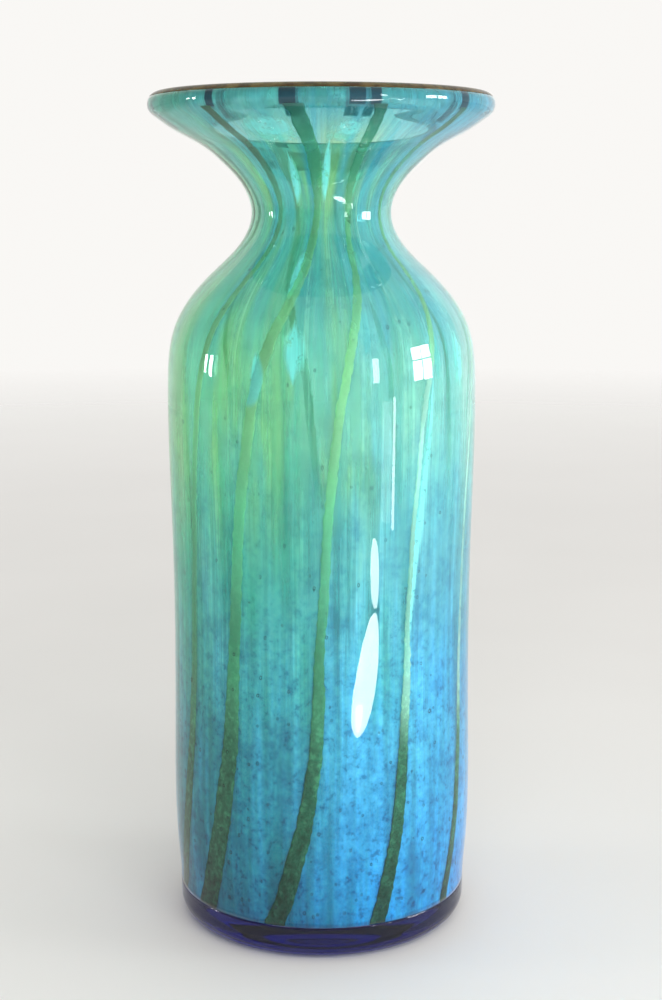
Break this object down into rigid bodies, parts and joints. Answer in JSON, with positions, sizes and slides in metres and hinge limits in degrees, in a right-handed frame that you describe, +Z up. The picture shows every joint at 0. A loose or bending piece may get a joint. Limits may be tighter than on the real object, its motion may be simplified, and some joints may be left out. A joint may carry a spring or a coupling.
{
  "type": "art glass vase",
  "caption": "Tall cased-glass vase: cylindrical body, pinched neck and wide trumpet lip, with leaning green trails in streaky turquoise glass on a cobalt foot.",
  "frame": {"origin": "centre of the resting face under the foot", "axes": "+Z up along the axis of the vase, from the foot to the mouth; the front, where trail_01 climbs, faces -Y"},
  "size_m": [0.0932, 0.0932, 0.23],
  "materials": {
    "clear_glass": "polished clear glass",
    "turquoise_glass": "polished streaky opal turquoise glass",
    "green_glass": "dense olive to yellow-green glass",
    "cobalt_glass": "polished deep cobalt glass",
    "amber_glass": "fire-polished amber and olive glass"
  },
  "bodies": {
    "root": {"clear_casing": "clear_glass", "clear_infill": "clear_glass", "colour_liner": "turquoise_glass", "cobalt_foot": "cobalt_glass", "lip_wrap": "amber_glass", "trail_01": "green_glass", "trail_02": "green_glass", "trail_03": "green_glass", "trail_04": "green_glass", "trail_05": "green_glass", "trail_06": "green_glass", "trail_07": "green_glass", "trail_08": "green_glass", "trail_09": "green_glass", "trail_10": "green_glass"}
  },
  "joints": []
}
